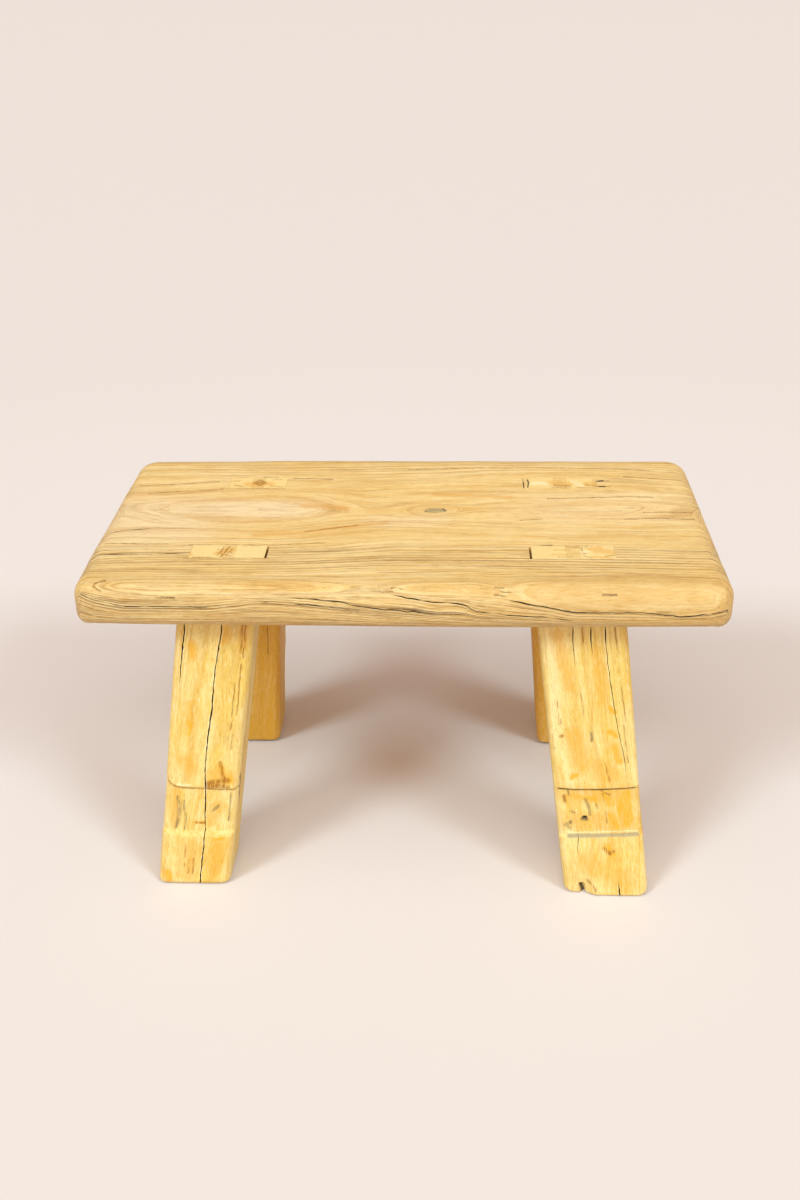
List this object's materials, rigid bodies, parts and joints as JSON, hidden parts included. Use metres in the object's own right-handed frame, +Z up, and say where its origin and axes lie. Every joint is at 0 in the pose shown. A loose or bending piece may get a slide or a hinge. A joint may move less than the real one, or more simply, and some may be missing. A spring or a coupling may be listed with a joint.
{
  "type": "low wooden stool",
  "caption": "Low country stool with a thick round-edged elm board seat on splayed legs, joined by wedged through tenons; for sitting low or as a small stand.",
  "frame": {"origin": "on the floor under the middle of the stool's plan", "axes": "+X along the seat's length, to the right as seen from the front; +Y to the back; +Z up"},
  "size_m": [0.4, 0.212, 0.229],
  "materials": {
    "seat_wood": "bare, sanded and waxed",
    "leg_wood": "bare, sanded and waxed",
    "wedge_wood": "bare end grain"
  },
  "bodies": {
    "root": {"seat_board": "seat_wood", "leg_front_left": "leg_wood", "leg_front_right": "leg_wood", "leg_rear_left": "leg_wood", "leg_rear_right": "leg_wood", "tenon_wedge_front_left": "wedge_wood", "tenon_wedge_front_right": "wedge_wood", "tenon_wedge_rear_left": "wedge_wood", "tenon_wedge_rear_right": "wedge_wood", "tenon_slip_inner_rear_right": "wedge_wood", "tenon_slip_outer_rear_right": "wedge_wood"}
  },
  "joints": []
}
